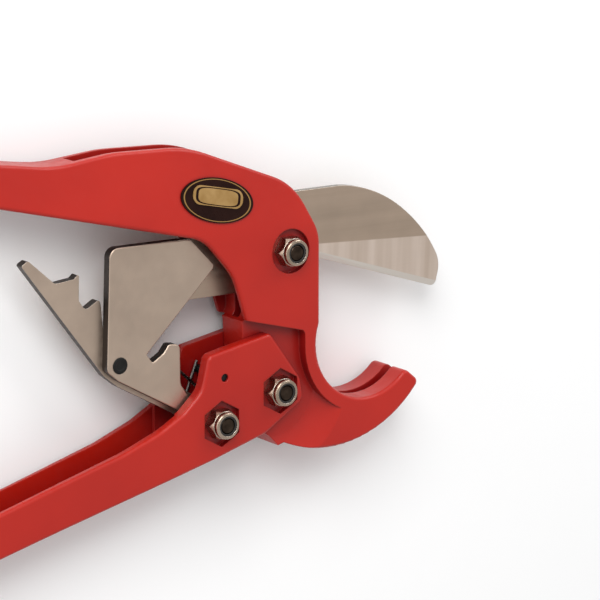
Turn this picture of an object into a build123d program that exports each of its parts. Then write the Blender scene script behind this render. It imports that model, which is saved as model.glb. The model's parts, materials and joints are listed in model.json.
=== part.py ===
from build123d import *
import os
from math import asin, atan2, cos, degrees, hypot, pi, radians, sin

os.makedirs("parts", exist_ok=True)

# A hand-squeezed ratcheting cutter for plastic pipe, lying on its side, in millimetres.
# Everything is drawn from the throat wall at the height of the pipe's centre: +X points out of the
# jaws, +Y to the upper handle and +Z to the label side, and Z = 0 is the blade's own plane.
# At the end all pieces move by one seat radius, so that the origin is the centre of the pipe seat.

# Pipe seat
PIPE_DIAMETER = 50.8
SEAT_CLEARANCE = 0.2
EDGE_CLEARANCE = 0.5

# Overall sizes
HANDLE_REACH = 360.0
FRAME_WIDTH = 23.0
CROWN_WIDTH = 13.6
TANG_WIDTH = 14.0
EAR_THICKNESS = 5.0
CHANNEL_WIDTH = 22.0

# Walls
CROWN_WALL = 4.0
CHEEK_WALL = 2.8
CHANNEL_WALL = 2.6
FLOOR_WALL = 3.0
JAW_WALL = 18.5
JAW_WEB = 5.5
LIP_WIDTH = 5.7
CAST_EDGE = 1.4
DRAFT_DEPTH = 30.0
DRAFT_BLEND = 60.0
GRIP_LEAN = 6.6

# Pivots, from the throat wall
BLADE_PIVOT = (-12.8, 39.8)
HANDLE_PIVOT = (-18.5, -16.4)
RATCHET_PIVOT = (-46.8, -25.6)
SPRING_PIN_AT = (-45.3, -7.1)

# Blade
BLADE_THICKNESS = 3.0
EDGE_THICKNESS = 0.3
EDGE_DROP = 17.9
EDGE_REACH = 37.0
HONED_WIDTH = 2.6
SLOT_CLEARANCE = 0.7

# Ratchet
PLATE_THICKNESS = 4.0
BAR_THICKNESS = 4.0
NOTCH_PITCH = 18.0
NOTCH_LINE = 137.3
FIRST_NOTCH = 40.4
NOSE_RADIUS = 2.6
NOSE_CLEARANCE = 0.8
NOSE_TRAVEL = 1.3
NOTCH_FLARE = 1.3
EYE_RADIUS = 8.5
RIVET_DIAMETER = 6.6
RIVET_AT = (-89.8, 2.9)
PLATE_EDGE = 0.6

# Hardware
BOLT_DIAMETER = 6.7
HEX_ACROSS_FLATS = 11.2
HEAD_HEIGHT = 5.3
NUT_HEIGHT = 7.2
NUT_HEX_HEIGHT = 5.0
COLLAR_DIAMETER = 10.8
INSERT_WALL = 0.75
BOLT_END_DROP = 0.4
RECESS_DIAMETER = 18.0
RECESS_DEPTH = 2.5
POCKET_ACROSS_FLATS = 16.4
POCKET_DEPTH = 2.6
BUSHING_WALL = 1.6
WASHER_THICKNESS = 1.5
WASHER_OVERHANG = 5.0
SPRING_PIN_DIAMETER = 3.3
SPRING_WIRE = 1.3
SPRING_RADIUS = 8.0
SPRING_TURNS = 2

# Fits
RUNNING_FIT = 0.05
MOVING_GAP = 0.3

# Label
LABEL_SIZE = (34.0, 17.6)
LABEL_AT = (-46.8, 63.8)
LABEL_TILT = -12.0
LABEL_THICKNESS = 0.6
BADGE_SIZE = (23.4, 7.6)
BADGE_SHIFT = (0.0, 1.3)
BADGE_THICKNESS = 0.4

# Values worked out from the sizes above
seat_radius = PIPE_DIAMETER / 2 + SEAT_CLEARANCE
seat = (seat_radius, 0.0)
frame_half = FRAME_WIDTH / 2
tang_half = TANG_WIDTH / 2
ear_inner = tang_half + MOVING_GAP
ear_outer = ear_inner + EAR_THICKNESS
channel_half = CHANNEL_WIDTH / 2
blade_half = BLADE_THICKNESS / 2
slot_half = blade_half + SLOT_CLEARANCE
bolt_radius = BOLT_DIAMETER / 2
bushing_radius = bolt_radius + RUNNING_FIT + BUSHING_WALL
washer_outer = blade_half + MOVING_GAP + WASHER_THICKNESS
bar_half = BAR_THICKNESS / 2
plate_top = bar_half + PLATE_THICKNESS
recess_floor = frame_half - RECESS_DEPTH
pocket_floor = ear_outer - POCKET_DEPTH


def rounded(*corners):
    """Face bounded by straight runs and tangent arcs through corners (x, y, radius)."""
    points = [(x, y) for x, y, _ in corners]
    radii = [r for _, _, r in corners]
    return make_face(FilletPolyline(*points, radius=radii, close=True))


def slab(face, low, high):
    """Solid of a flat face between two heights."""
    return extrude(Pos(0, 0, low) * face, high - low, dir=(0, 0, 1))


def both_sides(solid):
    """A solid with its mirror image on the far side of the blade's plane."""
    return solid + mirror(solid, Plane.XY)


def disc(at, radius, low, high):
    """Solid round disc about a point in the plane."""
    return slab(Pos(*at) * Circle(radius), low, high)


def tube(at, outer, inner, low, high):
    """Solid ring about a point in the plane."""
    return slab(Pos(*at) * (Circle(outer) - Circle(inner)), low, high)


def hexagon(at, across_flats, low, high, turn=30):
    """Hexagonal prism: a turn of 30 degrees sets two flats upright, and no turn sets two level."""
    corner = across_flats / 2 / cos(pi / 6)
    return slab(Pos(*at) * RegularPolygon(corner, 6, rotation=turn), low, high)


def polar(at, length, angle):
    """Point at a length and an angle in degrees from another point."""
    return (at[0] + length * cos(radians(angle)), at[1] + length * sin(radians(angle)))


def save(name, solid):
    """Write one named piece, moved so that the origin is the centre of the seat."""
    export_step(Pos(-seat_radius, 0, 0) * solid, "parts/" + name + ".step")


# Castings ---------------------------------------------------------------------------------------

GRIP_END = -HANDLE_REACH
JAW_CENTRE = (seat_radius - 17.0, 11.0)
JAW_RADIUS = seat_radius + JAW_WALL + JAW_CENTRE[1]
DRAFT_ORIGIN = (seat_radius + 60.0, 66.0)


def upper_outline():
    """Side view of the fixed handle, the neck and the tang."""
    return rounded(
        (GRIP_END, 117.0, 6),
        (-176, 92.0, 300),
        (-118, 83.6, 60),
        (-92, 86.4, 60),
        (-58, 85.4, 50),
        (-9.0, 66.2, 26),
        (1.5, 46.0, 18),
        (1.5, 0, 0),
        (seat_radius, -seat_radius - 4, 0),
        (-17, -40, 0),
        (-25, -30, 6),
        (-32, -14, 8),
        (-33.4, 13, 14),
        (-39.5, 32.5, 25),
        (-53.5, 48.8, 18),
        (-165, 76.0, 250),
        (GRIP_END, 101.5, 6),
    )


def jaw_outline():
    """Side view of the lower jaw: a sickle that ends on a ray from the seat's centre."""
    tip = polar(seat, JAW_RADIUS, -40)
    clip = rounded(
        (seat[0], 0, 0),
        (tip[0], tip[1], 0),
        (tip[0], -JAW_RADIUS - 10, 0),
        (-18, -JAW_RADIUS - 10, 0),
        (-26, -28, 0),
        (-20, 0, 0),
    )
    return (Pos(*JAW_CENTRE) * Circle(JAW_RADIUS)) & clip


def frame_outline():
    """Whole side view of the C-shaped casting, with the seat cut out and the jaw's tip rounded."""
    face = upper_outline() + jaw_outline() - Pos(*seat) * Circle(seat_radius)
    tips = face.vertices().filter_by(lambda v: v.X > seat[0] + 8)
    return fillet(tips, 2.5)


def drafted(crown_half, low_half):
    """Long prism across the fixed handle: narrow at the crown, and wider by a draft towards its foot."""
    lean = radians(GRIP_LEAN)
    across = Vector(sin(lean), cos(lean), 0)
    along = Vector(-cos(lean), sin(lean), 0)
    section = Plane(origin=(*DRAFT_ORIGIN, 0), x_dir=across, z_dir=along)
    taper = (low_half - crown_half) / DRAFT_DEPTH
    top_half = crown_half - 20 * taper
    face = rounded(
        (-250, -low_half, 0),
        (-DRAFT_DEPTH, -low_half, DRAFT_BLEND),
        (20, -top_half, 0),
        (20, top_half, 0),
        (-DRAFT_DEPTH, low_half, DRAFT_BLEND),
        (-250, low_half, 0),
    )
    return extrude(section * face, HANDLE_REACH + seat_radius + 90)


def hollow_handle():
    """Space inside the fixed handle: open below, closed by the crown, the grip's end and the neck."""
    face = rounded(
        (GRIP_END + CROWN_WALL, 117.0 - CROWN_WALL, 2),
        (-176, 92.0 - CROWN_WALL, 300),
        (-118, 83.6 - CROWN_WALL, 60),
        (-92, 86.4 - CROWN_WALL, 60),
        (-60, 85.4 - CROWN_WALL, 50),
        (-31, 73.5 - CROWN_WALL, 12),
        (-30.5, 14, 4),
        (-60, 6, 0),
        (GRIP_END + CROWN_WALL, 60, 0),
    )
    inside = drafted(CROWN_WIDTH / 2 - CHEEK_WALL, frame_half - CHEEK_WALL)
    return slab(face, -frame_half, frame_half) & inside


def crown_slot():
    """Slot along the crown, through which the blade's tail can rise."""
    half = CROWN_WIDTH / 2 - CHEEK_WALL
    face = rounded(
        (-108, 95, 0),
        (-108, 77, 3),
        (-60, 76, 20),
        (-26, 66, 20),
        (-10.5, 56, 3),
        (-5, 75, 0),
        (-40, 95, 0),
    )
    return slab(face, -half, half)


def blade_slot():
    """Slot that the blade swings in, from the crown to the bottom web of the jaw."""
    upper = rounded(
        (-40, 95, 0),
        (-40, 16, 0),
        (-22, 11, 4),
        (-10, 4, 8),
        (-7.5, -8, 8),
        (-3, -25, 0),
        (seat_radius + 30, -25, 0),
        (seat_radius + 30, 95, 0),
    )
    inner = Pos(*JAW_CENTRE) * Circle(JAW_RADIUS - JAW_WEB)
    lower = inner & rounded(
        (-3, -20, 0),
        (-3, -90, 0),
        (seat_radius + 40, -90, 0),
        (seat_radius + 40, -20, 0),
    )
    return slab(upper + lower, -slot_half, slot_half)


def ear_pocket():
    """Room for one ear: its floor is the tang, and it runs out over the jaw as a shallow cone."""
    lip = Pos(*seat) * Circle(seat_radius + LIP_WIDTH)
    above = rounded(
        (-70, 24.1, 0),
        (-LIP_WIDTH, 6.6, 2.5),
        (-LIP_WIDTH, 0, 0),
        (10, 0, 0),
        (10, -16.5, 0),
        (-70, -16.5, 0),
    )
    below = rounded((-70, -16.5, 0), (30, -16.5, 0), (30, -80, 0), (-70, -80, 0))
    depth = frame_half - tang_half
    ramp = Cone(20, 33, depth)
    ramp = Pos(HANDLE_PIVOT[0], HANDLE_PIVOT[1], tang_half + depth / 2) * ramp
    upper_cut = slab(above - lip, tang_half, frame_half + 1)
    lower_cut = slab(below - lip, tang_half, frame_half) & ramp
    return upper_cut + lower_cut


def outer_rims(body, level, crease):
    """Edges round both faces of a casting, beyond a height, without its corners and its creases."""
    rims = []
    for edge in body.edges():
        middle = edge @ 0.5
        heading = edge % 0.5
        upright = abs(heading.Z) > 0.99
        creased = edge.geom_type == GeomType.LINE and abs(heading.dot(crease)) > 0.99999
        if abs(middle.Z) > level and not upright and not creased:
            rims.append(edge)
    return rims


def frame_casting():
    """One-piece casting: fixed handle, neck, tang and lower jaw."""
    body = slab(frame_outline(), -frame_half, frame_half)
    body &= drafted(CROWN_WIDTH / 2, frame_half)
    crease = Vector(-cos(radians(GRIP_LEAN)), sin(radians(GRIP_LEAN)), 0)
    body = fillet(outer_rims(body, CROWN_WIDTH / 4, crease), CAST_EDGE)
    body -= hollow_handle()
    body -= crown_slot()
    body -= blade_slot()
    body -= both_sides(ear_pocket())
    body -= both_sides(disc(BLADE_PIVOT, RECESS_DIAMETER / 2, recess_floor, frame_half + 1))
    body -= disc(BLADE_PIVOT, bushing_radius + WASHER_OVERHANG + 0.2, -washer_outer, washer_outer)
    body -= disc(BLADE_PIVOT, bolt_radius, -frame_half, frame_half)
    body -= disc(HANDLE_PIVOT, bushing_radius, -frame_half, frame_half)
    return body


def handle_outline():
    """Side view of the moving handle with its two ears."""
    return rounded(
        (GRIP_END, -99.0, 6),
        (-147, -46.0, 150),
        (-92, -31.0, 60),
        (-75, -24.6, 30),
        (-64.5, -18.8, 12),
        (-56.0, -11.0, 10),
        (-52.6, 2.6, 3.0),
        (-45.4, 3.9, 2.5),
        (-23.2, 7.9, 2.5),
        (-18.0, 0.8, 12),
        (-8.6, -12.4, 8),
        (-7.0, -21.3, 4.0),
        (-25.3, -32.9, 12),
        (-50, -39.9, 60),
        (-148, -64.1, 200),
        (GRIP_END, -114.0, 6),
    )


def channel():
    """Space between the walls of the moving handle, open at the top and at the ears."""
    face = rounded(
        (GRIP_END + CHANNEL_WALL, -60, 0),
        (GRIP_END + CHANNEL_WALL, -114 + FLOOR_WALL, 2),
        (-148, -64.2 + FLOOR_WALL, 200),
        (-57, -41.7 + FLOOR_WALL, 4),
        (-54, -60, 0),
        (20, -60, 0),
        (20, 30, 0),
        (-70, 30, 0),
    )
    return face


def handle_plan():
    """Prism over the moving handle's plan view: wide at the ears and narrower along the grip."""
    face = rounded(
        (20, ear_outer, 0),
        (-70, ear_outer, 1000),
        (-125, channel_half, 1000),
        (GRIP_END - 1, channel_half, 0),
        (GRIP_END - 1, -channel_half, 0),
        (-125, -channel_half, 1000),
        (-70, -ear_outer, 1000),
        (20, -ear_outer, 0),
    )
    return extrude(Plane.XZ * face, HANDLE_REACH, both=True)


def lower_handle():
    """Moving handle: a channel that widens into two ears astride the tang."""
    body = slab(handle_outline(), -ear_outer, ear_outer) & handle_plan()
    body = fillet(outer_rims(body, channel_half - 2, Vector(0, 1, 0)), CAST_EDGE)
    left = rounded((GRIP_END, 30, 0), (-66, 30, 0), (-66, -130, 0), (GRIP_END, -130, 0))
    right = rounded((-66.1, 40, 0), (20, 40, 0), (20, -130, 0), (-66.1, -130, 0))
    inner = channel_half - CHANNEL_WALL
    body -= slab(channel() & left, -inner, inner)
    body -= slab(channel() & right, -ear_inner, ear_inner)
    for pivot in (HANDLE_PIVOT, RATCHET_PIVOT):
        body -= both_sides(hexagon(pivot, POCKET_ACROSS_FLATS, pocket_floor, ear_outer + 1))
        body -= disc(pivot, bolt_radius, -ear_outer, ear_outer)
    body -= disc(SPRING_PIN_AT, SPRING_PIN_DIAMETER / 2, -ear_outer, ear_outer)
    return body


# Blade ------------------------------------------------------------------------------------------

edge_normal = 90 - EDGE_DROP
edge_touch = polar(seat, seat_radius - SEAT_CLEARANCE + EDGE_CLEARANCE, edge_normal)
nose_at = polar(RATCHET_PIVOT, FIRST_NOTCH + NOTCH_PITCH, NOTCH_LINE)


def edge_point(along, above):
    """Point by the cutting edge: a distance along it from where it meets the pipe, and above it."""
    return polar(polar(edge_touch, along, -EDGE_DROP), above, edge_normal)


def blade_outline():
    """Side view of the blade: broad cutting end, pivot eye and a tail that hooks down to its nose."""
    root = edge_point(-36, 0)
    tip = edge_point(EDGE_REACH, 0)
    front = seat_radius
    tail_x, tail_y = nose_at
    body = rounded(
        (root[0], root[1], 1.5),
        (tip[0], tip[1], 2.5),
        (front + 45.2, 24.0, 12),
        (front + 36.2, 39.2, 70),
        (front + 14.8, 57.2, 60),
        (front - 4.3, 61.5, 40),
        (front - 49.0, 61.5, 14),
        (tail_x + 12, 36.5, 8),
        (tail_x - NOSE_RADIUS, 33.5, 5),
        (tail_x - NOSE_RADIUS, tail_y, 0),
        (tail_x + NOSE_RADIUS, tail_y, 0),
        (tail_x + NOSE_RADIUS, 24.0, 1.5),
        (-30.0, 23.6, 12),
        (root[0] - 4.8, root[1] - 8.2, 6),
    )
    return body + Pos(tail_x, tail_y) * Circle(NOSE_RADIUS)


def bevel_cut(left, right, width):
    """Wedge that thins the near face from a line down to the edge thickness at a width below it."""
    along = Vector(left[0] - right[0], left[1] - right[1], 0)
    down = along.normalized().rotate(Axis.Z, 90)
    section = Plane(origin=(right[0], right[1], blade_half), x_dir=down, z_dir=along)
    drop = blade_half - EDGE_THICKNESS / 2
    triangle = make_face(Polyline((0, 0), (3 * width, -3 * drop), (3 * width, 1), (0, 1), close=True))
    return extrude(section * triangle, along.length)


def blade():
    """Blade with a broad ground bevel and a narrow honed one on both faces."""
    body = slab(blade_outline(), -blade_half, blade_half)
    left = (-1.5, 39.5)
    right = (seat_radius + 50.0, 35.3)
    tip = edge_point(EDGE_REACH, 0)
    body -= both_sides(bevel_cut(left, right, right[1] - tip[1] - 1.8))
    body -= both_sides(bevel_cut(edge_point(-36, HONED_WIDTH), edge_point(45, HONED_WIDTH), HONED_WIDTH))
    return body - disc(BLADE_PIVOT, bushing_radius + RUNNING_FIT, -blade_half, blade_half)


# Ratchet ----------------------------------------------------------------------------------------

def notch_at(step, side=0.0, up=0.0):
    """Point by one notch of the ratchet, counted outwards from the one nearest its pivot."""
    x, y = polar(RATCHET_PIVOT, FIRST_NOTCH + step * NOTCH_PITCH, NOTCH_LINE)
    return (x + side, y + up)


def with_radius(point, radius):
    """Corner of an outline from a point and the radius there."""
    return (point[0], point[1], radius)


def ratchet_plate():
    """Near plate: broad at the top, with the first notch and a hook beside the pivot."""
    outline = rounded(
        (-93.7, 49.5, 4),
        (-56.6, 49.1, 4),
        (-45.0, 37.0, 2),
        (-77.4, 5.6, 0.8),
        (-74.8, 2.0, 0.9),
        (-69.8, 5.0, 2.0),
        (-67.2, 8.4, 1.6),
        (-62.0, 7.6, 2.4),
        (-61.8, -8.4, 4),
        (-56.0, -17.0, 6),
        (RATCHET_PIVOT[0], RATCHET_PIVOT[1] + 6, 0),
        (RATCHET_PIVOT[0], RATCHET_PIVOT[1] - 6, 0),
        (-57.0, -22.6, 8),
        (-90.4, -3.4, 4),
        (-95.6, 1.0, 3),
    )
    outline += Pos(*RATCHET_PIVOT) * Circle(EYE_RADIUS)
    body = slab(outline, bar_half, plate_top)
    rims = body.edges().group_by(Axis.Z)
    body = fillet(rims[-1], PLATE_EDGE)
    body -= disc(RATCHET_PIVOT, bushing_radius, bar_half, plate_top)
    return body - disc(RIVET_AT, RIVET_DIAMETER / 2, bar_half, plate_top)


def ratchet_bar():
    """Notched bar in the blade's plane; the blade's nose stands in its second notch."""
    nose_low = -NOSE_RADIUS - NOSE_CLEARANCE
    nose_left = -NOSE_RADIUS - NOSE_CLEARANCE - NOSE_TRAVEL
    nose_right = NOSE_RADIUS + NOSE_CLEARANCE
    outline = rounded(
        with_radius(notch_at(3, -14.4, 8.0), 0.8),
        with_radius(notch_at(3, -11.4, 9.8), 1.2),
        with_radius(notch_at(3, 0.2, -0.6), 2.5),
        with_radius(notch_at(3, 8.6, 0.2), 1.0),
        with_radius(notch_at(3, 11.0, 2.4), 0.6),
        with_radius(notch_at(2, -2.6, 3.8), 1.0),
        with_radius(notch_at(2, 0.2, -0.4), 1.8),
        with_radius(notch_at(2, 6.6, 3.2), 1.0),
        with_radius(notch_at(1, nose_left - NOTCH_FLARE, 13.0), 0.8),
        with_radius(notch_at(1, nose_left, nose_low), 1.5),
        with_radius(notch_at(1, nose_right, nose_low), 2.0),
        with_radius(notch_at(1, nose_right, 1.5), 0.8),
        with_radius(notch_at(1, 9.5, -1.0), 2.0),
        with_radius(notch_at(0, -1.0, -1.6), 1.5),
        with_radius(notch_at(0, 4.0, -2.2), 2.0),
        (-64.4, -7.5, 4),
        (RATCHET_PIVOT[0], RATCHET_PIVOT[1] + 6, 0),
        (RATCHET_PIVOT[0], RATCHET_PIVOT[1] - 6, 0),
        (-57.0, -24.4, 8),
        (-88.5, -6.5, 3),
        (-94.6, -1.6, 6),
    )
    outline += Pos(*RATCHET_PIVOT) * Circle(EYE_RADIUS)
    body = slab(outline, -bar_half, bar_half)
    body -= disc(RATCHET_PIVOT, bushing_radius, -bar_half, bar_half)
    return body - disc(RIVET_AT, RIVET_DIAMETER / 2, -bar_half, bar_half)


def ratchet_rivet():
    """Countersunk rivet that joins the plate and the bar, flush on both faces."""
    return disc(RIVET_AT, RIVET_DIAMETER / 2, -bar_half, plate_top)


def ratchet_sleeve():
    """Bearing sleeve pressed through the plate and the bar."""
    return tube(RATCHET_PIVOT, bushing_radius, bolt_radius + RUNNING_FIT, -bar_half, plate_top)


def ratchet_spacer():
    """Spacers on the ratchet's bolt: a washer on the near side and the spring's drum on the far side."""
    near = tube(RATCHET_PIVOT, bolt_radius * 2, bolt_radius, plate_top + MOVING_GAP, ear_inner)
    drum = SPRING_RADIUS - SPRING_WIRE / 2 - 0.6
    return near + tube(RATCHET_PIVOT, drum, bolt_radius, -ear_inner, -bar_half - MOVING_GAP)


def rod(start, end, radius):
    """Round rod between two points in space."""
    run = Vector(*end) - Vector(*start)
    return extrude(Plane(origin=start, z_dir=run) * Circle(radius), run.length)


def ratchet_spring():
    """Torsion spring on the drum: one leg rests on the cross pin, the other lies along the bar."""
    wire = SPRING_WIRE / 2
    far = -ear_inner + 0.4 + wire
    near = -bar_half - 0.8 - wire
    reach = hypot(SPRING_PIN_AT[0] - RATCHET_PIVOT[0], SPRING_PIN_AT[1] - RATCHET_PIVOT[1])
    rise = degrees(atan2(SPRING_PIN_AT[1] - RATCHET_PIVOT[1], SPRING_PIN_AT[0] - RATCHET_PIVOT[0]))
    pin_offset = SPRING_PIN_DIAMETER / 2 + wire + RUNNING_FIT
    pin_leg = rise - degrees(asin((SPRING_RADIUS - pin_offset) / reach))
    bar_leg = NOTCH_LINE
    pin_start = polar(RATCHET_PIVOT, SPRING_RADIUS, pin_leg + 90)
    bar_start = polar(RATCHET_PIVOT, SPRING_RADIUS, bar_leg - 90)
    sweep_angle = 360 * SPRING_TURNS - (pin_leg + 90) + (bar_leg - 90)
    pitch = (near - far) * 360 / sweep_angle
    coil = Helix(pitch=pitch, height=near - far, radius=SPRING_RADIUS)
    section = Plane(origin=coil @ 0, z_dir=coil % 0) * Circle(wire)
    turns = sweep(section, path=coil)
    turns = Pos(RATCHET_PIVOT[0], RATCHET_PIVOT[1], far) * (Rot(0, 0, pin_leg + 90) * turns)
    pin_end = polar(pin_start, reach * cos(radians(rise - pin_leg)) + 3, pin_leg)
    bar_end = polar(bar_start, 28, bar_leg)
    spring = turns + rod((*pin_start, far), (*pin_end, far), wire)
    return spring + rod((*bar_start, near), (*bar_end, near), wire)


def spring_pin():
    """Cross pin through both ears, set a little below their faces."""
    return disc(SPRING_PIN_AT, SPRING_PIN_DIAMETER / 2, 1 - ear_outer, ear_outer - 1)


# Bolts, nuts and bearings -----------------------------------------------------------------------

def bolt(at, seat_depth):
    """Hexagon bolt whose head sits on the far seat and whose end stops inside the nut's collar."""
    head = hexagon(at, HEX_ACROSS_FLATS, -seat_depth - HEAD_HEIGHT, -seat_depth)
    rounding = Pos(at[0], at[1], -seat_depth - HEAD_HEIGHT / 2)
    head &= rounding * Cone(HEX_ACROSS_FLATS * 0.47, HEX_ACROSS_FLATS * 0.76, HEAD_HEIGHT)
    end = seat_depth + NUT_HEIGHT - BOLT_END_DROP
    shank = disc(at, bolt_radius, -seat_depth, end)
    shank = chamfer(shank.edges().group_by(Axis.Z)[-1], 0.6)
    return head + shank


def nut(at, seat_depth):
    """Locking nut: a hexagon with a round collar that holds the insert."""
    top = seat_depth + NUT_HEX_HEIGHT
    body = hexagon(at, HEX_ACROSS_FLATS, seat_depth, top, turn=0)
    rounding = Pos(at[0], at[1], seat_depth + NUT_HEX_HEIGHT / 2)
    body &= rounding * Cone(HEX_ACROSS_FLATS * 0.72, HEX_ACROSS_FLATS * 0.5, NUT_HEX_HEIGHT)
    collar = disc(at, COLLAR_DIAMETER / 2, top, seat_depth + NUT_HEIGHT)
    collar = fillet(collar.edges().group_by(Axis.Z)[-1], 0.8)
    body += collar
    body -= disc(at, bolt_radius, seat_depth, seat_depth + NUT_HEIGHT)
    return body - disc(at, bolt_radius + INSERT_WALL, top, seat_depth + NUT_HEIGHT)


def nut_insert(at, seat_depth):
    """Plastic locking ring inside the nut's collar."""
    low = seat_depth + NUT_HEX_HEIGHT
    return tube(at, bolt_radius + INSERT_WALL, bolt_radius, low, seat_depth + NUT_HEIGHT - 0.3)


def blade_bushing():
    """Bearing that spaces the cheeks and carries the blade."""
    return tube(BLADE_PIVOT, bushing_radius, bolt_radius, -washer_outer, washer_outer)


def blade_washers():
    """Thrust washers on both sides of the blade."""
    outer = bushing_radius + WASHER_OVERHANG
    inner = bushing_radius + 2 * RUNNING_FIT
    return both_sides(tube(BLADE_PIVOT, outer, inner, blade_half + MOVING_GAP, washer_outer))


def handle_bushing():
    """Bearing pressed into the tang for the moving handle's bolt."""
    return tube(HANDLE_PIVOT, bushing_radius, bolt_radius + RUNNING_FIT, -tang_half, tang_half)


# Label ------------------------------------------------------------------------------------------

def label_plane(offset):
    """Plane of the drafted near cheek at the label, raised by an offset."""
    across = Vector(sin(radians(GRIP_LEAN)), cos(radians(GRIP_LEAN)), 0)
    taper = (frame_half - CROWN_WIDTH / 2) / DRAFT_DEPTH
    run = Vector(LABEL_AT[0] - DRAFT_ORIGIN[0], LABEL_AT[1] - DRAFT_ORIGIN[1], 0).dot(across)
    normal = (across * taper + Vector(0, 0, 1)).normalized()
    centre = Vector(LABEL_AT[0], LABEL_AT[1], CROWN_WIDTH / 2 - run * taper) + normal * offset
    level = Vector(cos(radians(LABEL_TILT)), sin(radians(LABEL_TILT)), 0)
    level = (level - normal * level.dot(normal)).normalized()
    return Plane(origin=centre, x_dir=level, z_dir=normal)


def label_plate():
    """Oval plate on the near cheek."""
    oval = Ellipse(LABEL_SIZE[0] / 2, LABEL_SIZE[1] / 2)
    return extrude(label_plane(0) * oval, LABEL_THICKNESS)


def label_badge():
    """Raised panel on the oval plate."""
    panel = RectangleRounded(BADGE_SIZE[0], BADGE_SIZE[1], BADGE_SIZE[1] * 0.45)
    return extrude(label_plane(LABEL_THICKNESS) * (Pos(*BADGE_SHIFT) * panel), BADGE_THICKNESS)


save("frame_casting", frame_casting())
save("lower_handle", lower_handle())
save("blade", blade())
save("ratchet_plate", ratchet_plate())
save("ratchet_bar", ratchet_bar())
save("ratchet_rivet", ratchet_rivet())
save("ratchet_sleeve", ratchet_sleeve())
save("ratchet_spacer", ratchet_spacer())
save("ratchet_spring", ratchet_spring())
save("spring_pin", spring_pin())
save("blade_bushing", blade_bushing())
save("blade_washers", blade_washers())
save("handle_bushing", handle_bushing())
save("label_plate", label_plate())
save("label_badge", label_badge())
for name, at, seat_depth in (
    ("blade", BLADE_PIVOT, recess_floor),
    ("handle", HANDLE_PIVOT, pocket_floor),
    ("ratchet", RATCHET_PIVOT, pocket_floor),
):
    save(name + "_bolt", bolt(at, seat_depth))
    save(name + "_nut", nut(at, seat_depth))
    save(name + "_nut_insert", nut_insert(at, seat_depth))
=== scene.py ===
"""Look of a hand-squeezed ratcheting pipe cutter: finishes, small parts, light and camera."""

import json
import logging
import math
from dataclasses import dataclass, field
from enum import Enum

import bmesh
import bpy
from mathutils import Matrix, Vector

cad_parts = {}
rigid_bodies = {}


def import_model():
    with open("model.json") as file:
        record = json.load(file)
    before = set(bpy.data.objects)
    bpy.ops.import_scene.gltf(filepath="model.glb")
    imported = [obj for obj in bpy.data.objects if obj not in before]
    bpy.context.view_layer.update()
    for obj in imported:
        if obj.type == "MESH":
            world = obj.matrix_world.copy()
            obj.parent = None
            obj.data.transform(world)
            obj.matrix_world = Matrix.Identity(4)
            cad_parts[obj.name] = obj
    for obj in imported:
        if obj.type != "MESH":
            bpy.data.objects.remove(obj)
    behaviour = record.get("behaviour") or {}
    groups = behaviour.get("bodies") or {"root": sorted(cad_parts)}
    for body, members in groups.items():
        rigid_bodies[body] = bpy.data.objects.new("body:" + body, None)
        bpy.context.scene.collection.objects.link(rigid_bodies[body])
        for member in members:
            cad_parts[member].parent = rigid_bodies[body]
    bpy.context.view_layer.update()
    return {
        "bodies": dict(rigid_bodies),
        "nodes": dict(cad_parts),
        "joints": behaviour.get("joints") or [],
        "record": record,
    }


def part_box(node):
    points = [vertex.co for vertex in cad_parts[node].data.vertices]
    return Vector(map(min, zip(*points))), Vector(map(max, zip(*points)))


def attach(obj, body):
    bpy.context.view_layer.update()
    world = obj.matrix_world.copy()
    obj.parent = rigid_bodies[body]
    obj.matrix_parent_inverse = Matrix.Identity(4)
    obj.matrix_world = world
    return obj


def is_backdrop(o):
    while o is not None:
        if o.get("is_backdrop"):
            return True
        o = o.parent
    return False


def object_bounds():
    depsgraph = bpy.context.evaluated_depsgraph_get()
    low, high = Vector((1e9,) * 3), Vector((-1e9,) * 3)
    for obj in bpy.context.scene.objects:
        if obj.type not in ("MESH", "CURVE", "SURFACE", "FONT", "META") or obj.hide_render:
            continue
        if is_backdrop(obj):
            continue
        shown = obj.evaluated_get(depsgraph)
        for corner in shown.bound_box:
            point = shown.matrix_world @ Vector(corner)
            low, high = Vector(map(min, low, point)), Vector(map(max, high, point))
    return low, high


log = logging.getLogger("pipe_cutter")

Colour = tuple[float, float, float]

NOISE_LOW = 0.3
NOISE_HIGH = 0.7
SHARP_ANGLE = math.radians(35)
WELD_DISTANCE = 1e-6
WAVE_RADIANS = 20.0


class Body(Enum):
    """Rigid bodies that a piece can ride on."""

    FRAME = "frame"
    HANDLE = "moving_handle"
    BLADE = "blade"
    RATCHET = "ratchet"


class Grind(Enum):
    """Direction in which a steel face was ground, as scales of its noise along X, Y and Z."""

    ALONG = (40.0, 1400.0, 600.0)
    ACROSS = (1400.0, 60.0, 600.0)
    TUMBLED = (420.0, 420.0, 420.0)


# Shared node groups ------------------------------------------------------------------------------


@dataclass(frozen=True)
class Socket:
    """One socket of a node group."""

    name: str
    kind: str = "NodeSocketFloat"
    default: float = 0.0


class EffectGroup:
    """A shader node group that is built once and placed in every material that needs it."""

    name: str = ""
    inputs: tuple[Socket, ...] = ()
    outputs: tuple[Socket, ...] = ()

    def tree(self) -> bpy.types.NodeTree:
        """Find the group, or build it the first time.

        Returns:
            The node tree of the group.
        """
        found = bpy.data.node_groups.get(self.name)
        if found is not None:
            return found
        made = bpy.data.node_groups.new(self.name, "ShaderNodeTree")
        for item in self.inputs:
            socket = made.interface.new_socket(item.name, in_out="INPUT", socket_type=item.kind)
            if item.kind == "NodeSocketFloat":
                socket.default_value = item.default
        for item in self.outputs:
            made.interface.new_socket(item.name, in_out="OUTPUT", socket_type=item.kind)
        self.wire(made)
        return made

    def wire(self, tree: bpy.types.NodeTree) -> None:
        """Add the nodes of the group to its empty tree.

        Args:
            tree: Empty tree of the group.
        """
        raise NotImplementedError


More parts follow.
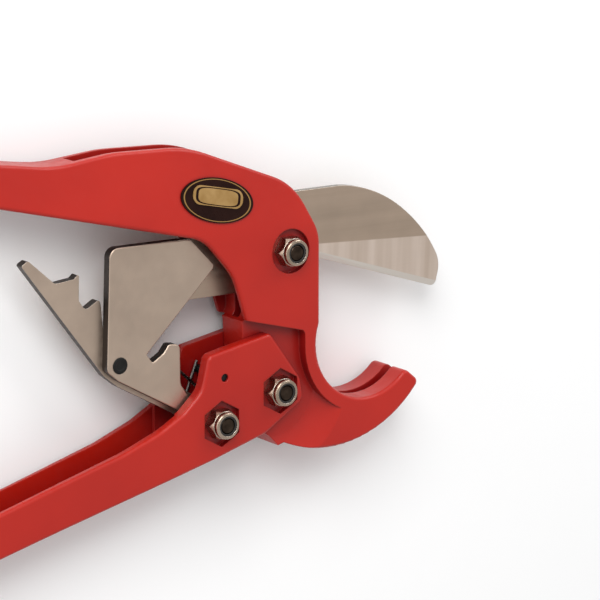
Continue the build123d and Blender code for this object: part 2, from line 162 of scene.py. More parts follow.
def linked(tree: bpy.types.NodeTree, kind: str, **inputs: object) -> bpy.types.Node:
    """Add a node and give its inputs values or links.

    Args:
        tree: Tree that the node is added to.
        kind: Type name of the node.
        **inputs: Socket names, with underscores for spaces, or `i0`, `i1` for sockets by number.

    Returns:
        The new node.
    """
    node = tree.nodes.new(kind)
    for key, value in inputs.items():
        numbered = key[0] == "i" and key[1:].isdigit()
        socket = node.inputs[int(key[1:])] if numbered else node.inputs[key.replace("_", " ")]
        if isinstance(value, bpy.types.NodeSocket):
            tree.links.new(value, socket)
        else:
            socket.default_value = value
    return node


def math_node(tree: bpy.types.NodeTree, operation: str, *values: object) -> bpy.types.NodeSocket:
    """Add a Math node.

    Args:
        tree: Tree that the node is added to.
        operation: Name of the operation.
        *values: Numbers or sockets for the inputs, in order.

    Returns:
        The node's output.
    """
    node = linked(tree, "ShaderNodeMath", **{f"i{n}": v for n, v in enumerate(values)})
    node.operation = operation
    return node.outputs[0]


class Mottle(EffectGroup):
    """Slow and fast variation over a surface: for colour, for roughness and for height."""

    name = "mottle"
    inputs = (
        Socket("Vector", "NodeSocketVector"),
        Socket("Coarse Scale", default=30.0),
        Socket("Fine Scale", default=600.0),
        Socket("Balance", default=0.5),
    )
    outputs = (Socket("Coarse"), Socket("Fine"), Socket("Height"))

    def wire(self, tree: bpy.types.NodeTree) -> None:
        """Blend two noises by the balance input.

        Args:
            tree: Empty tree of the group.
        """
        enter = tree.nodes.new("NodeGroupInput").outputs
        leave = tree.nodes.new("NodeGroupOutput").inputs
        coarse = linked(tree, "ShaderNodeTexNoise", Vector=enter["Vector"],
                        Scale=enter["Coarse Scale"], Detail=3.0, Roughness=0.55).outputs["Fac"]
        fine = linked(tree, "ShaderNodeTexNoise", Vector=enter["Vector"], Scale=enter["Fine Scale"],
                      Detail=2.0, Roughness=0.5).outputs["Fac"]
        part = math_node(tree, "MULTIPLY", fine, enter["Balance"])
        rest = math_node(tree, "SUBTRACT", 1.0, enter["Balance"])
        height = math_node(tree, "ADD", part, math_node(tree, "MULTIPLY", coarse, rest))
        tree.links.new(coarse, leave["Coarse"])
        tree.links.new(fine, leave["Fine"])
        tree.links.new(height, leave["Height"])


class GrindLines(EffectGroup):
    """Fine parallel scratches, drawn as noise stretched along one direction."""

    name = "grind_lines"
    inputs = (Socket("Vector", "NodeSocketVector"), Socket("Stretch", "NodeSocketVector"))
    outputs = (Socket("Lines"), Socket("Bands"))

    def wire(self, tree: bpy.types.NodeTree) -> None:
        """Scale the coordinates and read two noises there.

        Args:
            tree: Empty tree of the group.
        """
        enter = tree.nodes.new("NodeGroupInput").outputs
        leave = tree.nodes.new("NodeGroupOutput").inputs
        scaled = linked(tree, "ShaderNodeVectorMath", i0=enter["Vector"], i1=enter["Stretch"])
        scaled.operation = "MULTIPLY"
        at = scaled.outputs[0]
        lines = linked(tree, "ShaderNodeTexNoise", Vector=at, Scale=1.0, Detail=4.0, Roughness=0.6)
        bands = linked(tree, "ShaderNodeTexNoise", Vector=at, Scale=0.12, Detail=2.0, Roughness=0.5)
        tree.links.new(lines.outputs["Fac"], leave["Lines"])
        tree.links.new(bands.outputs["Fac"], leave["Bands"])


class SideOfLine(EffectGroup):
    """Mask that is one on one side of a plane through the part and zero on the other."""

    name = "side_of_line"
    inputs = (
        Socket("Vector", "NodeSocketVector"),
        Socket("Normal", "NodeSocketVector"),
        Socket("Offset"),
        Socket("Softness", default=0.0004),
    )
    outputs = (Socket("Mask"),)

    def wire(self, tree: bpy.types.NodeTree) -> None:
        """Measure the distance from the plane and ramp it over the softness.

        Args:
            tree: Empty tree of the group.
        """
        enter = tree.nodes.new("NodeGroupInput").outputs
        leave = tree.nodes.new("NodeGroupOutput").inputs
        dot = linked(tree, "ShaderNodeVectorMath", i0=enter["Vector"], i1=enter["Normal"])
        dot.operation = "DOT_PRODUCT"
        gap = math_node(tree, "SUBTRACT", dot.outputs["Value"], enter["Offset"])
        steep = math_node(tree, "DIVIDE", gap, enter["Softness"])
        mask = tree.nodes.new("ShaderNodeClamp")
        tree.links.new(steep, mask.inputs["Value"])
        tree.links.new(mask.outputs[0], leave["Mask"])


class CutSide(EffectGroup):
    """Mask of the narrow sides of a plate that lies square to Z."""

    name = "cut_side"
    inputs = (Socket("Limit", default=0.5),)
    outputs = (Socket("Mask"),)

    def wire(self, tree: bpy.types.NodeTree) -> None:
        """Compare the height of the surface's direction with the limit.

        Args:
            tree: Empty tree of the group.
        """
        enter = tree.nodes.new("NodeGroupInput").outputs
        leave = tree.nodes.new("NodeGroupOutput").inputs
        split = tree.nodes.new("ShaderNodeSeparateXYZ")
        facing = tree.nodes.new("ShaderNodeNewGeometry").outputs["Normal"]
        tree.links.new(facing, split.inputs[0])
        level = math_node(tree, "ABSOLUTE", split.outputs[2])
        tree.links.new(math_node(tree, "LESS_THAN", level, enter["Limit"]), leave["Mask"])


class Hollow(EffectGroup):
    """Mask of hollows and inner corners, where less light gets in."""

    name = "hollow"
    inputs = (Socket("Reach", default=0.02), Socket("Sharpness", default=1.5))
    outputs = (Socket("Mask"),)

    def wire(self, tree: bpy.types.NodeTree) -> None:
        """Turn the open share of the surroundings into a mask of what is closed.

        Args:
            tree: Empty tree of the group.
        """
        enter = tree.nodes.new("NodeGroupInput").outputs
        leave = tree.nodes.new("NodeGroupOutput").inputs
        nearby = linked(tree, "ShaderNodeAmbientOcclusion", Distance=enter["Reach"])
        nearby.samples = 8
        closed = math_node(tree, "SUBTRACT", 1.0, nearby.outputs["AO"])
        mask = tree.nodes.new("ShaderNodeClamp")
        tree.links.new(math_node(tree, "MULTIPLY", closed, enter["Sharpness"]), mask.inputs["Value"])
        tree.links.new(mask.outputs[0], leave["Mask"])


class EdgeWear(EffectGroup):
    """Mask of the sharp edges, broken up by noise."""

    name = "edge_wear"
    inputs = (
        Socket("Vector", "NodeSocketVector"),
        Socket("Radius", default=0.0006),
        Socket("Amount", default=1.0),
    )
    outputs = (Socket("Mask"), Socket("Normal", "NodeSocketVector"))

    def wire(self, tree: bpy.types.NodeTree) -> None:
        """Compare the rounded normal with the flat one.

        Args:
            tree: Empty tree of the group.
        """
        enter = tree.nodes.new("NodeGroupInput").outputs
        leave = tree.nodes.new("NodeGroupOutput").inputs
        rounded = linked(tree, "ShaderNodeBevel", Radius=enter["Radius"])
        rounded.samples = 4
        flat = tree.nodes.new("ShaderNodeNewGeometry").outputs["Normal"]
        dot = linked(tree, "ShaderNodeVectorMath", i0=rounded.outputs[0], i1=flat)
        dot.operation = "DOT_PRODUCT"
        bend = math_node(tree, "SUBTRACT", 1.0, dot.outputs["Value"])
        noise = linked(tree, "ShaderNodeTexNoise", Vector=enter["Vector"], Scale=260.0, Detail=3.0)
        broken = math_node(tree, "MULTIPLY", bend, noise.outputs["Fac"])
        mask = tree.nodes.new("ShaderNodeClamp")
        tree.links.new(math_node(tree, "MULTIPLY", broken, enter["Amount"]), mask.inputs["Value"])
        tree.links.new(mask.outputs[0], leave["Mask"])
        tree.links.new(rounded.outputs[0], leave["Normal"])


# Finishes ----------------------------------------------------------------------------------------


class Painter:
    """Node tree of one material with the calls that every finish uses."""

    def __init__(self, name: str) -> None:
        """Start an empty material.

        Args:
            name: Name of the material.
        """
        self.material = bpy.data.materials.new(name)
        self.material.use_nodes = True
        self.tree = self.material.node_tree
        self.tree.nodes.clear()
        self.shader = self.tree.nodes.new("ShaderNodeBsdfPrincipled")
        out = self.tree.nodes.new("ShaderNodeOutputMaterial")
        self.tree.links.new(self.shader.outputs[0], out.inputs["Surface"])
        self.place = self.tree.nodes.new("ShaderNodeTexCoord").outputs["Object"]

    def group(self, effect: EffectGroup, **inputs: object) -> bpy.types.Node:
        """Place a shared effect in this material.

        Args:
            effect: The effect to place.
            **inputs: Values or links for its inputs, with underscores for spaces.

        Returns:
            The group node.
        """
        node = self.tree.nodes.new("ShaderNodeGroup")
        node.node_tree = effect.tree()
        for key, value in inputs.items():
            socket = node.inputs[key.replace("_", " ")]
            if isinstance(value, bpy.types.NodeSocket):
                self.tree.links.new(value, socket)
            else:
                socket.default_value = value
        return node

    def blend(self, mask: bpy.types.NodeSocket, low: object, high: object) -> bpy.types.NodeSocket:
        """Mix two colours by a mask.

        Args:
            mask: Mask from zero to one.
            low: Colour, or a link, where the mask is zero.
            high: Colour, or a link, where the mask is one.

        Returns:
            The mixed colour.
        """
        node = self.tree.nodes.new("ShaderNodeMix")
        node.data_type = "RGBA"
        self.tree.links.new(mask, node.inputs["Factor"])
        for socket, value in ((node.inputs[6], low), (node.inputs[7], high)):
            if isinstance(value, bpy.types.NodeSocket):
                self.tree.links.new(value, socket)
            else:
                socket.default_value = (*value, 1.0)
        return node.outputs[2]

    def spread(self, value: bpy.types.NodeSocket, low: float, high: float) -> bpy.types.NodeSocket:
        """Map the usual range of a noise onto another range.

        Args:
            value: The value to map.
            low: Result at the low end of the noise.
            high: Result at the high end of the noise.

        Returns:
            The mapped value.
        """
        node = linked(self.tree, "ShaderNodeMapRange", Value=value)
        node.inputs["From Min"].default_value = NOISE_LOW
        node.inputs["From Max"].default_value = NOISE_HIGH
        node.inputs["To Min"].default_value = low
        node.inputs["To Max"].default_value = high
        return node.outputs[0]

    def bump(self, height: bpy.types.NodeSocket, distance: float, strength: float = 1.0,
             normal: bpy.types.NodeSocket | None = None) -> bpy.types.NodeSocket:
        """Turn a height into a normal.

        Args:
            height: Height from zero to one.
            distance: Height of one, in metres.
            strength: Share of the effect.
            normal: Normal that the bump is laid over.

        Returns:
            The new normal.
        """
        node = linked(self.tree, "ShaderNodeBump", Height=height, Distance=distance, Strength=strength)
        if normal is not None:
            self.tree.links.new(normal, node.inputs["Normal"])
        return node.outputs[0]

    def feed(self, **inputs: object) -> bpy.types.Material:
        """Set the shader's own sockets.

        Args:
            **inputs: Values or links, with underscores for spaces.

        Returns:
            The finished material.
        """
        for key, value in inputs.items():
            socket = self.shader.inputs[key.replace("_", " ")]
            if isinstance(value, bpy.types.NodeSocket):
                self.tree.links.new(value, socket)
            elif isinstance(value, tuple) and len(value) == 3:
                socket.default_value = (*value, 1.0)
            else:
                socket.default_value = value
        return self.material


@dataclass(frozen=True)
class Enamel:
    """Thick glossy enamel that follows a slightly uneven casting, with painted shade in its hollows."""

    name: str = "red_enamel"
    colour: Colour = (0.45, 0.012, 0.004)
    deep: Colour = (0.39, 0.009, 0.003)
    bare: Colour = (0.58, 0.05, 0.03)
    painted_shade: Colour = (0.20, 0.002, 0.003)
    roughness: float = 0.40
    # Painted shade: darker red laid into hollows and inner corners, where less light gets in.
    coat: float = 0.15
    gloss: float = 0.35
    casting_distance: float = 0.00022
    edge_radius: float = 0.0007

    def material(self) -> bpy.types.Material:
        """Build the material.

        Returns:
            The finished material.
        """
        painter = Painter(self.name)
        mottle = painter.group(Mottle(), Vector=painter.place, Coarse_Scale=22.0, Fine_Scale=330.0,
                               Balance=0.35)
        wear = painter.group(EdgeWear(), Vector=painter.place, Radius=self.edge_radius, Amount=1.6)
        tone = painter.blend(painter.spread(mottle.outputs["Coarse"], 0.0, 1.0), self.deep,
                             self.colour)
        # Painted shade: the enamel is darkened in hollows and inner corners by the hollow mask.
        hollow = painter.group(Hollow(), Reach=0.018, Sharpness=1.3)
        tone = painter.blend(hollow.outputs["Mask"], tone, self.painted_shade)
        colour = painter.blend(wear.outputs["Mask"], tone, self.bare)
        normal = painter.bump(mottle.outputs["Height"], self.casting_distance, 0.6,
                              wear.outputs["Normal"])
        rough = painter.spread(mottle.outputs["Fine"], self.roughness - 0.05, self.roughness + 0.06)
        return painter.feed(Base_Color=colour, Roughness=rough, Normal=normal, Coat_Weight=self.coat,
                            Coat_Roughness=0.15, Specular_IOR_Level=self.gloss)


@dataclass(frozen=True)
class Steel:
    """Ground or tumbled steel."""

    name: str
    colour: Colour = (0.57, 0.44, 0.34)
    dark: Colour = (0.45, 0.35, 0.27)
    bright: Colour = (0.80, 0.73, 0.66)
    roughness: float = 0.40
    grind: Grind = Grind.TUMBLED
    line_depth: float = 0.00003
    edge_radius: float = 0.0004
    # Colour of the narrow cut sides: partly the darker scale of a cut edge, partly painted shade for unlit
    # sides.
    side: Colour = (0.30, 0.28, 0.25)

    def material(self) -> bpy.types.Material:
        """Build the material."""
        painter = Painter(self.name)
        return self.paint(painter, *self.layers(painter))

    def layers(self, painter: Painter) -> tuple[bpy.types.NodeSocket, ...]:
        """Lay out the scratches and stains.

        Args:
            painter: Material that the nodes are added to.

        Returns:
            Colour, roughness and height of the plain face.
        """
        lines = painter.group(GrindLines(), Vector=painter.place, Stretch=self.grind.value)
        mottle = painter.group(Mottle(), Vector=painter.place, Coarse_Scale=45.0, Fine_Scale=900.0,
                               Balance=0.5)
        stain = math_node(painter.tree, "MULTIPLY", mottle.outputs["Coarse"], 0.55)
        streak = math_node(painter.tree, "MULTIPLY", lines.outputs["Bands"], 0.45)
        tone = painter.spread(math_node(painter.tree, "ADD", stain, streak), 0.0, 1.0)
        colour = painter.blend(tone, self.dark, self.colour)
        rough = painter.spread(lines.outputs["Lines"], self.roughness - 0.07, self.roughness + 0.09)
        return colour, rough, lines.outputs["Lines"]

    def paint(self, painter: Painter, colour: bpy.types.NodeSocket, rough: bpy.types.NodeSocket,
              height: bpy.types.NodeSocket) -> bpy.types.Material:
        """Finish the steel with bright, softened edges and darker narrow sides: partly cut-edge scale,
        partly painted shade.

        Args:
            painter: Material that the nodes are added to.
            colour: Colour of the face.
            rough: Roughness of the face.
            height: Height of the scratches.

        Returns:
            The finished material.
        """
        wear = painter.group(EdgeWear(), Vector=painter.place, Radius=self.edge_radius, Amount=3.0)
        cut = painter.group(CutSide(), Limit=0.5)
        # Painted shade, with some cut-edge scale: the narrow sides take the darker side colour.
        shade_on_sides = painter.blend(cut.outputs["Mask"], colour, self.side)
        worn = painter.blend(wear.outputs["Mask"], shade_on_sides, self.bright)
        normal = painter.bump(height, self.line_depth, 0.7, wear.outputs["Normal"])
        return painter.feed(Base_Color=worn, Roughness=rough, Normal=normal, Metallic=1.0)


@dataclass(frozen=True)
class BladeSteel(Steel):
    """Blade steel: lines along the blade, and a brighter bevel ground across its edge."""

    name: str = "blade_steel"
    grind: Grind = Grind.ALONG
    bevel_colour: Colour = (0.88, 0.74, 0.64)
    bevel_normal: tuple[float, float, float] = (-0.0544, -0.9985, 0.0)
    bevel_offset: float = -0.03797
    honed_normal: tuple[float, float, float] = (-0.3074, -0.9516, 0.0)
    honed_offset: float = -0.0285
    honed_softness: float = 0.0002
    bevel_start: float = -0.026

    def material(self) -> bpy.types.Material:
        """Build the material.

        Returns:
            The finished material.
        """
        painter = Painter(self.name)
        colour, rough, height = self.layers(painter)
        across = painter.group(GrindLines(), Vector=painter.place, Stretch=Grind.ACROSS.value)
        bevel = painter.group(SideOfLine(), Vector=painter.place, Normal=self.bevel_normal,
                              Offset=self.bevel_offset)
        honed = painter.group(SideOfLine(), Vector=painter.place, Normal=self.honed_normal,
                              Offset=self.honed_offset, Softness=self.honed_softness)
        ahead = painter.group(SideOfLine(), Vector=painter.place, Normal=(1.0, 0.0, 0.0),
                              Offset=self.bevel_start)
        mask = math_node(painter.tree, "MULTIPLY", bevel.outputs["Mask"], ahead.outputs["Mask"])
        shade = painter.spread(across.outputs["Bands"], 0.35, 1.0)
        ground = painter.blend(shade, self.colour, self.bevel_colour)
        colour = painter.blend(mask, colour, ground)
        edge = math_node(painter.tree, "MULTIPLY", honed.outputs["Mask"], mask)
        colour = painter.blend(edge, colour, self.bright)
        depth = linked(painter.tree, "ShaderNodeMix", Factor=mask, A=height,
                       B=across.outputs["Lines"])
        return self.paint(painter, colour, rough, depth.outputs[0])


@dataclass(frozen=True)
class Plated:
    """Bright zinc plate."""

    name: str = "zinc"
    colour: Colour = (0.52, 0.41, 0.32)
    shade: Colour = (0.34, 0.26, 0.19)
    bright: Colour = (0.93, 0.92, 0.90)
    roughness: float = 0.24
    edge_radius: float = 0.0003

    def material(self) -> bpy.types.Material:
        """Build the material.

        Returns:
            The finished material.
        """
        painter = Painter(self.name)
        mottle = painter.group(Mottle(), Vector=painter.place, Coarse_Scale=160.0, Fine_Scale=1600.0,
                               Balance=0.6)
        wear = painter.group(EdgeWear(), Vector=painter.place, Radius=self.edge_radius,
                             Amount=2.0)
        tone = painter.blend(painter.spread(mottle.outputs["Coarse"], 0.0, 1.0), self.shade,
                             self.colour)
        colour = painter.blend(wear.outputs["Mask"], tone, self.bright)
        rough = painter.spread(mottle.outputs["Fine"], self.roughness - 0.05, self.roughness + 0.08)
        normal = painter.bump(mottle.outputs["Height"], 0.00004, 0.5, wear.outputs["Normal"])
        return painter.feed(Base_Color=colour, Roughness=rough, Normal=normal, Metallic=1.0)


@dataclass(frozen=True)
class Threaded:
    """Screw that is plated on its head and darker, with rings of thread, on its shank."""

    name: str
    pitch: float = 0.00125
    thread_depth: float = 0.0003
    head_dark: Colour = (0.56, 0.54, 0.50)
    head_light: Colour = (0.74, 0.72, 0.68)
    shank_dark: Colour = (0.022, 0.014, 0.010)
    shank_light: Colour = (0.07, 0.048, 0.034)

    def material(self) -> bpy.types.Material:
        """Build the material.

        Returns:
            The finished material.
        """
        painter = Painter(self.name)
        mottle = painter.group(Mottle(), Vector=painter.place, Coarse_Scale=260.0, Fine_Scale=1500.0,
                               Balance=0.5)
        near = painter.group(SideOfLine(), Vector=painter.place, Normal=(0.0, 0.0, 1.0), Offset=0.0)
        tone = painter.spread(mottle.outputs["Coarse"], 0.0, 1.0)
        head = painter.blend(tone, self.head_dark, self.head_light)
        shank = painter.blend(tone, self.shank_dark, self.shank_light)
        colour = painter.blend(near.outputs["Mask"], head, shank)
        wave = linked(painter.tree, "ShaderNodeTexWave", Vector=painter.place,
                      Scale=math.tau / self.pitch / WAVE_RADIANS)
        wave.bands_direction = "Z"
        height = math_node(painter.tree, "MULTIPLY", wave.outputs["Fac"], near.outputs["Mask"])
        normal = painter.bump(height, self.thread_depth, 0.6)
        rough = painter.spread(mottle.outputs["Fine"], 0.30, 0.46)
        return painter.feed(Base_Color=colour, Roughness=rough, Normal=normal, Metallic=1.0)


@dataclass(frozen=True)
class Moulded:
    """Moulded or blacked surface with a fine grain."""

    name: str
    colour: Colour
    light: Colour
    roughness: float = 0.5
    grain: float = 1200.0
    metallic: float = 0.0
    edge_radius: float = 0.0003
    edge_gain: float = 2.0

    def material(self) -> bpy.types.Material:
        """Build the material.

        Returns:
            The finished material.
        """
        painter = Painter(self.name)
        mottle = painter.group(Mottle(), Vector=painter.place, Coarse_Scale=120.0,
                               Fine_Scale=self.grain, Balance=0.7)
        wear = painter.group(EdgeWear(), Vector=painter.place, Radius=self.edge_radius,
                             Amount=1.5)
        tone = painter.blend(painter.spread(mottle.outputs["Coarse"], 0.0, 1.0), self.colour,
                             self.light)
        edge = tuple(min(1.0, part * self.edge_gain) for part in self.light)
        colour = painter.blend(wear.outputs["Mask"], tone, edge)
        rough = painter.spread(mottle.outputs["Fine"], self.roughness - 0.08, self.roughness + 0.1)
        normal = painter.bump(mottle.outputs["Height"], 0.00005, 0.5, wear.outputs["Normal"])
        return painter.feed(Base_Color=colour, Roughness=rough, Normal=normal,
                            Metallic=self.metallic)


# Meshes ------------------------------------------------------------------------------------------


def piece(name: str, mesh: bmesh.types.BMesh, material: bpy.types.Material, body: Body) -> bpy.types.Object:
    """Make a finished object from a mesh, with its place in the mesh.

    Args:
        name: Name of the piece.
        mesh: Mesh that is read and freed.
        material: Its finish.
        body: Body that it rides on.

    Returns:
        The new object.
    """
    bmesh.ops.remove_doubles(mesh, verts=mesh.verts[:], dist=WELD_DISTANCE)
    bmesh.ops.recalc_face_normals(mesh, faces=mesh.faces[:])
    for face in mesh.faces:
        face.smooth = True
    for edge in mesh.edges:
        edge.smooth = edge.is_manifold and edge.calc_face_angle(0.0) < SHARP_ANGLE
    data = bpy.data.meshes.new(name)
    mesh.to_mesh(data)
    mesh.free()
    data.materials.append(material)
    made = bpy.data.objects.new(name, data)
    bpy.context.scene.collection.objects.link(made)
    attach(made, body.value)
    log.info("%s: %d faces", name, len(data.polygons))
    return made


def turned(profile: list[tuple[float, float]], at: Vector, steps: int = 64) -> bmesh.types.BMesh:
    """Turn a profile about an axis parallel to Z.

    Args:
        profile: Corners as radius and height.
        at: Centre, at height zero of the profile.
        steps: Number of steps round.

    Returns:
        The turned mesh.
    """
    mesh = bmesh.new()
    verts = [mesh.verts.new((at.x + r, at.y, at.z + h)) for r, h in profile]
    edges = [mesh.edges.new(pair) for pair in zip(verts, verts[1:])]
    bmesh.ops.spin(mesh, geom=verts + edges, cent=at, axis=(0, 0, 1), angle=math.tau, steps=steps,
                   use_merge=True)
    return mesh


# Sub-assemblies ----------------------------------------------------------------------------------


@dataclass
class Castings:
    """Frame and moving handle, in one red enamel."""

    nodes: tuple[str, ...] = ("frame_casting", "lower_handle")
    enamel: Enamel = field(default_factory=Enamel)

    def dress(self, frame: dict) -> None:
        """Give both castings their enamel.
        """
        material = self.enamel.material()
        for node in self.nodes:
            dress_node(frame, node, material)


@dataclass
class BladeSet:
    """Blade, its bearing and its thrust washers."""

    steel: BladeSteel = field(default_factory=BladeSteel)

    def dress(self, frame: dict) -> None:
        """Give the blade and its bearings their steels.
        """
        dress_node(frame, "blade", self.steel.material())
        washers = Steel("washer_steel", roughness=0.32)
        dress_node(frame, "blade_washers", washers.material())
        bronze = Steel("bearing_bronze", (0.55, 0.38, 0.18), (0.42, 0.28, 0.12),
                       (0.75, 0.58, 0.32), 0.3)
        made = bronze.material()
        for node in ("blade_bushing", "handle_bushing", "ratchet_sleeve"):
            dress_node(frame, node, made)


@dataclass
class Ratchet:
    """Ratchet plate and bar with the rivet, spring, pin and spacers."""

    # Nearly black cut sides: painted shade for the plate's unlit edges, partly the dark scale of a blanked
    # edge.
    steel: Steel = field(default_factory=lambda: Steel("ratchet_steel", (0.64, 0.505, 0.40),
                                                       (0.50, 0.39, 0.31), roughness=0.43,
                                                       line_depth=0.00005,
                                                       side=(0.07, 0.06, 0.055)))
    rivet_rim: float = 0.00325
    rivet_dish: float = 0.0017
    rivet_rise: float = 0.00035

    def dress(self, frame: dict) -> None:
        """Give the ratchet's nodes their finishes.
        """
        made = self.steel.material()
        dress_node(frame, "ratchet_plate", made)
        dress_node(frame, "ratchet_bar", made)
        plain = Steel("plain_steel", (0.40, 0.38, 0.36), (0.26, 0.25, 0.23),
                      roughness=0.35).material()
        dress_node(frame, "ratchet_spacer", plain)
        wire = Steel("spring_wire", (0.34, 0.33, 0.32), (0.22, 0.21, 0.20),
                     roughness=0.28).material()
        dress_node(frame, "ratchet_spring", wire)
        black = Moulded("black_oxide", (0.006, 0.006, 0.006), (0.018, 0.017, 0.016), 0.38,
                        metallic=0.6)
        oxide = black.material()
        dress_node(frame, "ratchet_rivet", oxide)
        dress_node(frame, "spring_pin", oxide)
        self.build_rivet_heads(oxide)

    def build_rivet_heads(self, oxide: bpy.types.Material) -> None:
        """Rolled rim and dish on both ends of the rivet.

        Args:
            oxide: Finish of the heads.
        """
        low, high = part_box("ratchet_rivet")
        middle = (low + high) / 2
        ends = (("rivet_head_near", high.z, 1.0), ("rivet_head_far", low.z, -1.0))
        for name, height, side in ends:
            rise, rim, dish = self.rivet_rise * side, self.rivet_rim, self.rivet_dish
            profile = [
                (rim, -0.0001 * side),
                (rim, rise * 0.45),
                (rim * 0.93, rise * 0.85),
                (rim * 0.84, rise),
                (rim * 0.72, rise * 0.95),
                (dish * 1.15, rise * 0.7),
                (dish, rise * 0.2),
                (dish * 0.9, 0.00002 * side),
                (0.0, 0.00002 * side),
            ]
            mesh = turned(profile, Vector((middle.x, middle.y, height)))
            piece(name, mesh, oxide, Body.RATCHET)


@dataclass
class Fasteners:
    """Three bolts with their locking nuts and rings."""

    names: tuple[str, ...] = ("blade", "handle", "ratchet")
    ring: Moulded = field(default_factory=lambda: Moulded("dark_nylon", (0.010, 0.008, 0.007),
                                                          (0.026, 0.021, 0.018), 0.5))

    def dress(self, frame: dict) -> None:
        """Give bolts, nuts and rings their finishes.
        """
        zinc = Plated().material()
        ring = self.ring.material()
        for name in self.names:
            dress_node(frame, name + "_bolt", Threaded(name + "_screw").material())
            dress_node(frame, name + "_nut", zinc)
            dress_node(frame, name + "_nut_insert", ring)


@dataclass(frozen=True)
class Print:
    """Flat print inside an outline, laid out in the print's own turned frame.

    The outline is an ellipse for a power of two, and nearly a rectangle for a high power.
    """

    name: str
    centre: tuple[float, float, float]
    half_width: float
    half_height: float
    turn: float
    ground: Colour
    warm: Colour
    line: Colour
    border: tuple[float, float]
    power: float = 2.0

    def reach(self, painter: Painter) -> bpy.types.NodeSocket:
        """Measure how far out a point is, as a share of the outline.

        Args:
            painter: Material that the nodes are added to.

        Returns:
            Zero at the centre and one on the outline.
        """
        tree = painter.tree
        local = tree.nodes.new("ShaderNodeMapping")
        local.vector_type = "TEXTURE"
        tree.links.new(painter.place, local.inputs["Vector"])
        local.inputs["Location"].default_value = self.centre
        local.inputs["Rotation"].default_value = (0.0, 0.0, self.turn)
        local.inputs["Scale"].default_value = (self.half_width, self.half_height, 1.0)
        split = tree.nodes.new("ShaderNodeSeparateXYZ")
        tree.links.new(local.outputs[0], split.inputs[0])
        wide, high = (
            math_node(tree, "POWER", math_node(tree, "ABSOLUTE", split.outputs[n]), self.power)
            for n in (0, 1)
        )
        return math_node(tree, "POWER", math_node(tree, "ADD", wide, high), 1.0 / self.power)

    def material(self) -> bpy.types.Material:
        """Build the material.

        Returns:
            The finished material.
        """
        painter = Painter(self.name)
        tree = painter.tree
        reach = self.reach(painter)
        inside = math_node(tree, "LESS_THAN", reach, self.border[1])
        outside = math_node(tree, "GREATER_THAN", reach, self.border[0])
        line = math_node(tree, "MULTIPLY", inside, outside)
        mottle = painter.group(Mottle(), Vector=painter.place, Coarse_Scale=150.0, Fine_Scale=1800.0,
                               Balance=0.5)
        tone = painter.spread(mottle.outputs["Coarse"], 0.0, 1.0)
        colour = painter.blend(line, painter.blend(tone, self.ground, self.warm), self.line)
        rough = painter.spread(mottle.outputs["Fine"], 0.26, 0.36)
        normal = painter.bump(mottle.outputs["Height"], 0.00003, 0.4)
        return painter.feed(Base_Color=colour, Roughness=rough, Specular_IOR_Level=0.12,
                            Normal=normal)


@dataclass
class Label:
    """Oval label with a raised blank panel."""

    tilt: float = math.radians(-12.0)
    oval: tuple[float, float] = (0.034, 0.0176)
    panel: tuple[float, float] = (0.0234, 0.0076)
    dark: Colour = (0.010, 0.002, 0.001)
    brown: Colour = (0.018, 0.005, 0.003)
    gold: Colour = (0.27, 0.155, 0.05)
    pale_gold: Colour = (0.37, 0.23, 0.09)

    def dress(self, frame: dict) -> None:
        """Give the oval its print and the panel its gold.
        """
        for node, size, ground, warm, line, border, power in (
            ("label_plate", self.oval, self.dark, self.brown, self.gold, (0.90, 0.935), 2.0),
            ("label_badge", self.panel, self.gold, self.pale_gold, self.dark, (0.80, 0.90), 4.0),
        ):
            low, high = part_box(node)
            middle = tuple((low + high) / 2)
            printed = Print(node + "_print", middle, size[0] / 2, size[1] / 2, self.tilt, ground, warm,
                            line, border, power)
            dress_node(frame, node, printed.material())


def dress_node(frame: dict, node: str, material: bpy.types.Material) -> None:
    """Assign a finish to a node that keeps its shape.

    Args:
        node: Name of the node.
        material: Its finish.
    """
    made = frame["nodes"][node]
    if not made.data.materials:
        made.data.materials.append(material)
    for number in range(len(made.material_slots)):
        made.material_slots[number].material = material
    log.info("%s dressed in %s", node, material.name)


# Studio ------------------------------------------------------------------------------------------


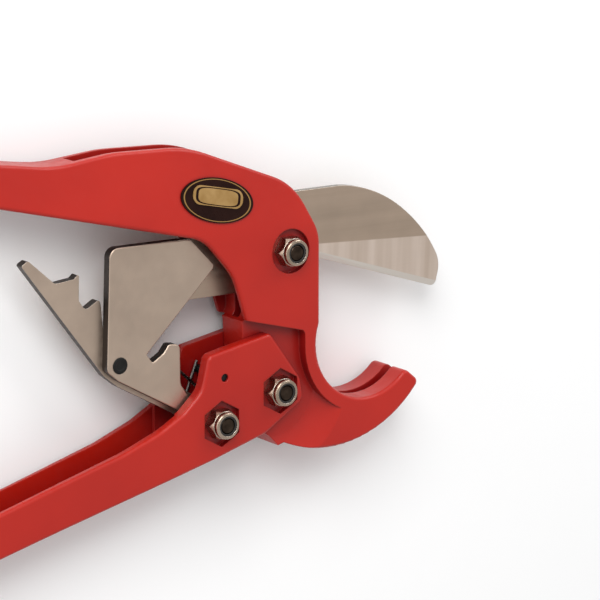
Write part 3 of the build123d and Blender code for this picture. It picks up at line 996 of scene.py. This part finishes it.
@dataclass
class Studio:
    """Pale floor, soft lights and the camera."""

    floor_colour: Colour = (0.95, 0.95, 0.95)
    floor_gap: float = 0.0
    floor_half: float = 6.0
    world_strength: float = 0.62
    azimuth: float = -35.5
    elevation: float = 12.6
    aim: tuple[float, float, float] = (-0.0326, 0.0189, 0.0095)
    distance: float = 1.18
    lens: float = 177.0
    sensor: float = 36.0

    def back(self) -> Vector:
        """Direction from the object to the camera."""
        turn, lift = math.radians(self.azimuth), math.radians(self.elevation)
        return Vector((math.sin(turn) * math.cos(lift), math.sin(lift),
                       math.cos(turn) * math.cos(lift)))

    def right(self) -> Vector:
        """Direction to the right of the picture."""
        turn = math.radians(self.azimuth)
        return Vector((math.cos(turn), 0.0, -math.sin(turn)))

    def build(self) -> None:
        """Build the floor, the lights, the world and the camera."""
        bpy.context.scene.view_settings.view_transform = "Standard"
        self.build_floor()
        self.build_world()
        self.build_lights()
        self.build_camera()

    def build_floor(self) -> None:
        """Large plain plane that the tool lies on."""
        low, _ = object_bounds()
        mesh = bmesh.new()
        bmesh.ops.create_grid(mesh, x_segments=1, y_segments=1, size=self.floor_half,
                              matrix=Matrix.Translation((0.0, 0.0, low.z - self.floor_gap)))
        data = bpy.data.meshes.new("floor")
        mesh.to_mesh(data)
        mesh.free()
        painter = Painter("floor_paint")
        mottle = painter.group(Mottle(), Vector=painter.place, Coarse_Scale=2.0, Fine_Scale=60.0,
                               Balance=0.5)
        rough = painter.spread(mottle.outputs["Fine"], 0.62, 0.72)
        data.materials.append(painter.feed(Base_Color=self.floor_colour, Roughness=rough))
        floor = bpy.data.objects.new("floor", data)
        bpy.context.scene.collection.objects.link(floor)
        floor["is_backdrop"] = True

    def build_world(self) -> None:
        """Even pale surroundings."""
        world = bpy.data.worlds.new("studio")
        bpy.context.scene.world = world
        world.use_nodes = True
        sky = world.node_tree.nodes["Background"]
        sky.inputs["Color"].default_value = (1.0, 1.0, 1.0, 1.0)
        sky.inputs["Strength"].default_value = self.world_strength

    def build_lights(self) -> None:
        """Three soft boxes, placed by the camera's own directions."""
        back, right = self.back(), self.right()
        up = back.cross(right)
        for name, place, size, power in (
            ("key", back * 1.3 + up * 0.7, 0.9, 15.0),
            ("fill", back * 0.9 - right * 1.3 + up * 0.1, 1.2, 8.0),
            ("rim", up * 1.2 + right * 1.4 + back * 0.3, 0.8, 9.0),
        ):
            lamp = bpy.data.lights.new(name, "AREA")
            lamp.shape = "SQUARE"
            lamp.size = size
            lamp.energy = power
            made = bpy.data.objects.new(name, lamp)
            made.location = Vector(self.aim) + place
            made.rotation_mode = "QUATERNION"
            made.rotation_quaternion = place.to_track_quat("Z", "Y")
            bpy.context.scene.collection.objects.link(made)

    def build_camera(self) -> None:
        """Long lens that looks at the label side from the handles' end."""
        lens = bpy.data.cameras.new("camera")
        lens.lens = self.lens
        lens.sensor_width = self.sensor
        made = bpy.data.objects.new("camera", lens)
        back, right = self.back(), self.right()
        up = back.cross(right)
        turn = Matrix((right, up, back)).transposed()
        made.location = Vector(self.aim) + back * self.distance
        made.rotation_mode = "QUATERNION"
        made.rotation_quaternion = turn.to_quaternion()
        bpy.context.scene.collection.objects.link(made)
        bpy.context.scene.camera = made


def main() -> None:
    """Load the frame, dress it and build the studio."""
    logging.basicConfig(level=logging.INFO, format="%(message)s")
    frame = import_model()
    for assembly in (Castings(), BladeSet(), Ratchet(), Fasteners(), Label()):
        log.info("building %s", type(assembly).__name__)
        assembly.dress(frame)
    Studio().build()


if __name__ == "__main__":
    main()
